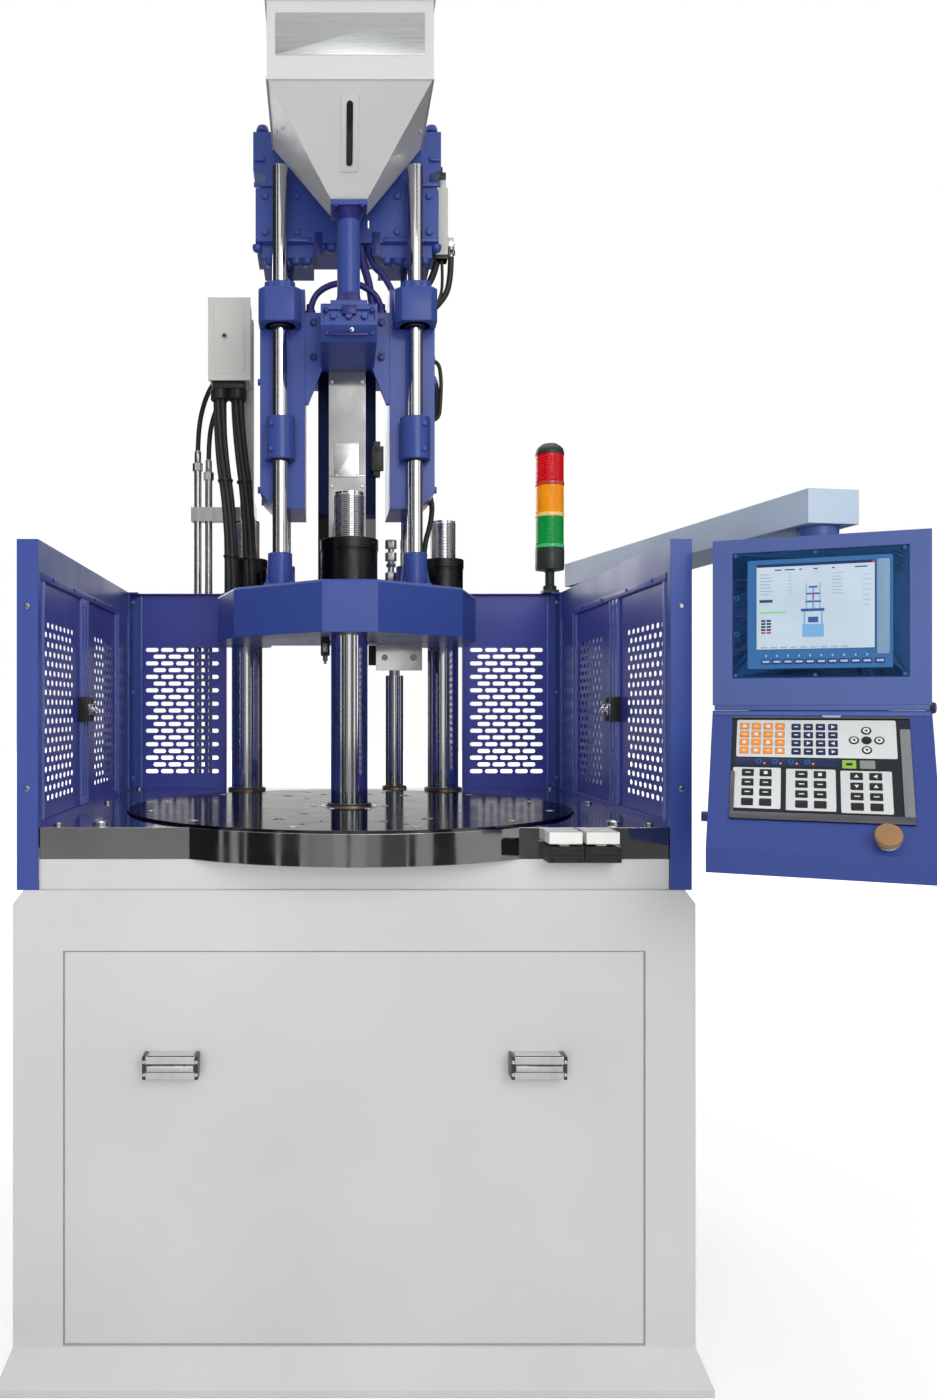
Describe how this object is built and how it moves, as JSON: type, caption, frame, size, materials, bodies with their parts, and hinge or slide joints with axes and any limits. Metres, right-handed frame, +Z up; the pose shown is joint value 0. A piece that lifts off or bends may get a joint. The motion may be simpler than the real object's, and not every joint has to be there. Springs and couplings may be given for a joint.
{
  "type": "injection moulding machine",
  "caption": "Vertical injection moulding machine with a round indexing table, three columns, a hopper on top, perforated guards and a control box on a swing arm.",
  "frame": {"origin": "on the floor below the turning axis of the rotary table, which is also the front column's axis", "axes": "+X to the operator's right, +Y to the machine's back, +Z up"},
  "size_m": [1.7236, 1.4533, 2.903],
  "materials": {
    "grey_paint": "satin enamel",
    "blue_paint": "satin enamel",
    "light_blue_paint": "satin enamel",
    "pale_arm_paint": "satin enamel",
    "polished_steel": "polished",
    "table_steel": "ground",
    "chrome_plate": "hard chrome",
    "black_steel": "black oxide",
    "machined_steel": "machined",
    "bronze": "machined",
    "machine_grey": "gloss enamel",
    "motor_blue": "satin enamel",
    "hopper_paint": "satin enamel",
    "sight_glass": "clear",
    "box_beige": "satin enamel",
    "cable_black": "matt",
    "start_black": "matt",
    "start_white": "gloss",
    "lens": "translucent red, amber and green",
    "screen_blue": "gloss",
    "keypad_film": "satin film",
    "stop_gold": "satin"
  },
  "bodies": {
    "base": {"base_frame": "grey_paint", "bed_plate": "polished_steel", "column_bushes": "bronze", "table_bearing": "machined_steel", "index_motor": "machine_grey", "clamp_cylinder": "machine_grey", "oil_tank": "machine_grey", "pump_set": "machine_grey", "guard_frame_left": "blue_paint", "guard_frame_right": "blue_paint", "rear_guard_left": "blue_paint", "rear_guard_right": "blue_paint", "start_boxes": "start_black", "tower_pole": "start_black", "tower_lenses": "lens", "arm_post": "pale_arm_paint"},
    "cover": {"front_cover": "grey_paint", "cover_handles": "chrome_plate"},
    "table": {"rotary_table": "table_steel", "ring_gear": "machined_steel"},
    "pinion": {"drive_pinion": "machined_steel"},
    "clamp": {"upper_platen": "blue_paint", "front_column": "chrome_plate", "rear_columns": "chrome_plate", "column_nuts": "black_steel", "lower_crosshead": "machined_steel", "clamp_rod": "chrome_plate", "guide_rods": "chrome_plate", "rod_bosses": "blue_paint", "safety_rod": "chrome_plate", "safety_bracket": "polished_steel", "junction_box": "box_beige", "cable_bundle": "cable_black", "oil_pipes": "machined_steel"},
    "carriage": {"injection_crosshead": "blue_paint", "injection_cylinders": "blue_paint", "barrel": "machined_steel", "barrel_cover": "polished_steel", "feed_tube": "blue_paint", "hopper": "hopper_paint", "sight_glass": "sight_glass", "injection_hoses": "cable_black"},
    "lid": {"hopper_lid": "hopper_paint"},
    "inject": {"thrust_block": "blue_paint", "piston_rods": "chrome_plate", "screw_motor": "motor_blue", "stroke_sensor": "box_beige"},
    "screw": {"screw": "machined_steel"},
    "leaf_front_left": {"guard_leaf_front_left": "blue_paint"},
    "leaf_front_right": {"guard_leaf_front_right": "blue_paint"},
    "leaf_rear_left": {"guard_leaf_rear_left": "blue_paint"},
    "leaf_rear_right": {"guard_leaf_rear_right": "blue_paint"},
    "arm": {"swing_arm": "pale_arm_paint"},
    "screen": {"screen_housing": "light_blue_paint", "screen_panel": "screen_blue"},
    "keypad": {"keypad_housing": "blue_paint", "keypad_panel": "keypad_film"},
    "stop_button": {"emergency_button": "stop_gold"},
    "start_left": {"start_button_left": "start_white"},
    "start_right": {"start_button_right": "start_white"}
  },
  "joints": [
    {"name": "table_turn", "type": "hinge", "parent": "base", "child": "table", "pos_m": [0, 0, 1.08], "axis": [0, 0, 1], "continuous": true},
    {"name": "pinion_turn", "type": "hinge", "parent": "base", "child": "pinion", "pos_m": [-0.375, 0, 1.05], "axis": [0, 0, 1], "continuous": true},
    {"name": "clamp_stroke", "type": "slide", "parent": "base", "child": "clamp", "axis": [0, 0, -1], "range_m": [0, 0.18]},
    {"name": "carriage_lift", "type": "slide", "parent": "clamp", "child": "carriage", "axis": [0, 0, 1], "range_m": [0, 0.2]},
    {"name": "injection_stroke", "type": "slide", "parent": "carriage", "child": "inject", "axis": [0, 0, 1], "range_m": [-0.06, 0.08]},
    {"name": "screw_turn", "type": "hinge", "parent": "inject", "child": "screw", "pos_m": [0, 0.288, 2.5], "axis": [0, 0, 1], "continuous": true},
    {"name": "lid_hinge", "type": "hinge", "parent": "carriage", "child": "lid", "pos_m": [0, 0.222, 2.877], "axis": [-1, 0, 0], "range_deg": [0, 95]},
    {"name": "cover_pull", "type": "slide", "parent": "base", "child": "cover", "axis": [0, -1, 0], "range_m": [0, 0.3]},
    {"name": "leaf_front_left_hinge", "type": "hinge", "parent": "base", "child": "leaf_front_left", "pos_m": [-0.634, -0.381, 1.32], "axis": [0, 0, 1], "range_deg": [0, 90]},
    {"name": "leaf_front_right_hinge", "type": "hinge", "parent": "base", "child": "leaf_front_right", "pos_m": [0.634, -0.381, 1.32], "axis": [0, 0, -1], "range_deg": [0, 90]},
    {"name": "leaf_rear_left_hinge", "type": "hinge", "parent": "base", "child": "leaf_rear_left", "pos_m": [-0.634, 0.362, 1.32], "axis": [0, 0, -1], "range_deg": [0, 90]},
    {"name": "leaf_rear_right_hinge", "type": "hinge", "parent": "base", "child": "leaf_rear_right", "pos_m": [0.634, 0.362, 1.32], "axis": [0, 0, 1], "range_deg": [0, 90]},
    {"name": "arm_swing", "type": "hinge", "parent": "base", "child": "arm", "pos_m": [0.694, 0.42, 1.66], "axis": [0, 0, 1], "range_deg": [0, 70]},
    {"name": "screen_swivel", "type": "hinge", "parent": "arm", "child": "screen", "pos_m": [0.84884, -0.49471, 1.64], "axis": [0, 0, 1], "range_deg": [-10, 60]},
    {"name": "keypad_tilt", "type": "hinge", "parent": "screen", "child": "keypad", "pos_m": [0.86267, -0.46364, 1.305], "axis": [0.9135, -0.4067, 0], "range_deg": [0, 18]},
    {"name": "emergency_press", "type": "slide", "parent": "keypad", "child": "stop_button", "axis": [0.3332, 0.7483, -0.5736], "range_m": [0, 0.005], "stiffness_N_per_m": 1500},
    {"name": "start_left_press", "type": "slide", "parent": "base", "child": "start_left", "axis": [0, 0, -1], "range_m": [0, 0.004], "stiffness_N_per_m": 1500},
    {"name": "start_right_press", "type": "slide", "parent": "base", "child": "start_right", "axis": [0, 0, -1], "range_m": [0, 0.004], "stiffness_N_per_m": 1500}
  ],
  "couplings": [
    {"joint": "pinion_turn", "follows": "table_turn", "ratio": -4}
  ]
}
